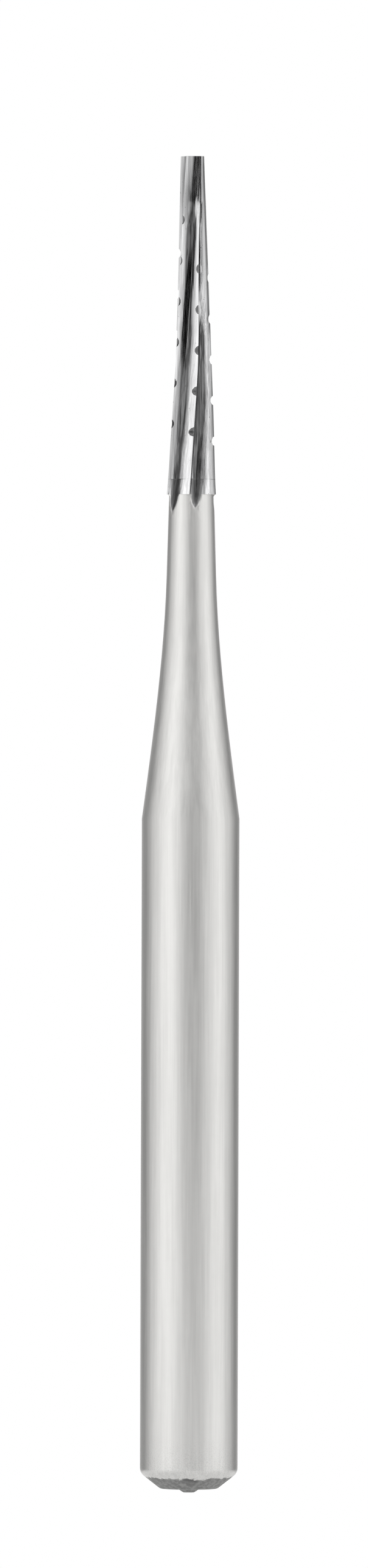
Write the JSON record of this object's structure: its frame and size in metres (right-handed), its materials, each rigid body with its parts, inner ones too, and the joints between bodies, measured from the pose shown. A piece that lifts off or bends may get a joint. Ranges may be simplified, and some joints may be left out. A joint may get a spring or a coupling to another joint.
{
  "type": "dental bur",
  "caption": "Tapered cross-cut fissure bur: a fluted carbide head on a slim neck and a round friction-grip shank.",
  "frame": {"origin": "centre of the flat end of the shank, on the bur's axis", "axes": "+Z along the axis from the shank towards the tip, -Y towards the viewer of the picture, +X to the right"},
  "size_m": [0.0016, 0.0016, 0.0219],
  "materials": {
    "tungsten_carbide": "ground tungsten carbide, glossy with fine grinding lines",
    "stainless_steel": "satin ground stainless steel"
  },
  "bodies": {
    "root": {"carbide_head": "tungsten_carbide", "steel_shank": "stainless_steel"}
  },
  "joints": []
}
